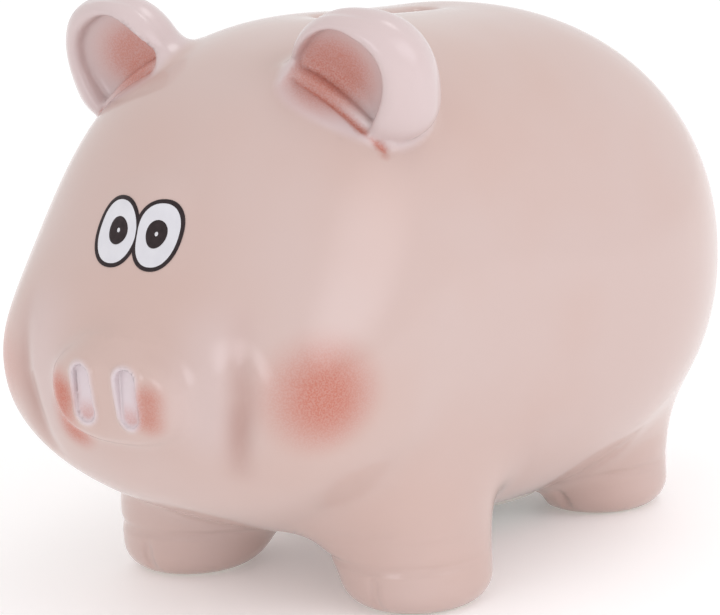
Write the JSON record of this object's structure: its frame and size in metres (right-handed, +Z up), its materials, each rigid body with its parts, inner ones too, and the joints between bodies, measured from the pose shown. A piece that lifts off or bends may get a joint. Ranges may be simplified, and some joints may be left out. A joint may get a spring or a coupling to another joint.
{
  "type": "coin bank",
  "caption": "Plump ceramic pig money bank with a slot in its back, stub legs, cupped ears, printed eyes and a soft pull-out belly stopper.",
  "frame": {"origin": "on the standing surface, under the middle of the overall box", "axes": "+Z up, -Y towards the pig's nose, +X towards the pig's left side; X = 0 is the mirror plane"},
  "size_m": [0.125, 0.1897, 0.1313],
  "materials": {
    "glazed_body": "clear gloss glaze over pale pink earthenware, airbrushed coral on cheeks, ears and snout",
    "eye_white": "glossy fired-on white film",
    "eye_dark": "glossy fired-on near-black film",
    "soft_stopper": "satin translucent off-white soft PVC"
  },
  "bodies": {
    "bank": {"ceramic_shell": "glazed_body", "left_ear": "glazed_body", "right_ear": "glazed_body", "tail": "glazed_body", "left_eye_white": "eye_white", "right_eye_white": "eye_white", "left_eye_line": "eye_dark", "right_eye_line": "eye_dark", "left_pupil": "eye_dark", "right_pupil": "eye_dark"},
    "stopper": {"belly_stopper": "soft_stopper"}
  },
  "joints": [
    {"name": "stopper_pull", "type": "slide", "parent": "bank", "child": "stopper", "axis": [0, 0, -1], "range_m": [0, 0.035]}
  ]
}
